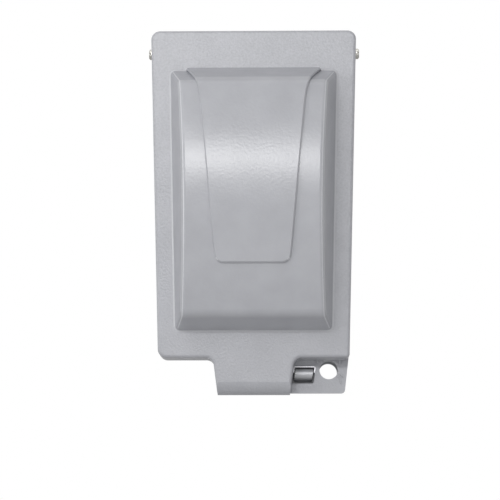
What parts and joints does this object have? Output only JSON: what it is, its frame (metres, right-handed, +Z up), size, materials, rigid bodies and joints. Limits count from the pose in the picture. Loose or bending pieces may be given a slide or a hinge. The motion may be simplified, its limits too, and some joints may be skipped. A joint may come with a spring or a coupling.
{
  "type": "weatherproof in-use outlet cover",
  "caption": "Wall-mounted outlet cover of die-cast metal with a domed lid hinged at the top, a raised flared panel, a hood over the cord exits and a padlock latch.",
  "frame": {"origin": "On the wall, midway between the two box screws", "axes": "+X to the right seen from the front, +Y into the wall, +Z up"},
  "size_m": [0.1154, 0.0796, 0.1966],
  "materials": {
    "powder_coat": "satin grey powder coat with orange peel over die-cast aluminium",
    "foam": "closed-cell foam",
    "thermoplastic": "moulded, fine texture",
    "spring_steel": "dark plated strip",
    "plated_steel": "zinc plated",
    "nylon": "natural"
  },
  "bodies": {
    "base": {"base_frame": "powder_coat", "wall_gasket": "foam", "insert_gasket": "foam", "device_insert": "thermoplastic", "insert_screw_1": "plated_steel", "insert_screw_2": "plated_steel", "insert_screw_3": "plated_steel", "insert_screw_4": "plated_steel", "hinge_screw_left": "plated_steel", "hinge_screw_right": "plated_steel", "hinge_washer_left": "nylon", "hinge_washer_right": "nylon", "catch_rivet": "plated_steel"},
    "lid": {"lid": "powder_coat", "lid_gasket": "foam"},
    "catch": {"catch": "spring_steel"}
  },
  "joints": [
    {"name": "lid_hinge", "type": "hinge", "parent": "base", "child": "lid", "pos_m": [0, -0.027, 0.0834], "axis": [-1, 0, 0], "range_deg": [0, 110]},
    {"name": "catch_flex", "type": "hinge", "parent": "base", "child": "catch", "pos_m": [0.02752, -0.0247, -0.0852], "axis": [1, 0, 0], "range_deg": [0, 6], "stiffness_Nm_per_rad": 0.05}
  ]
}
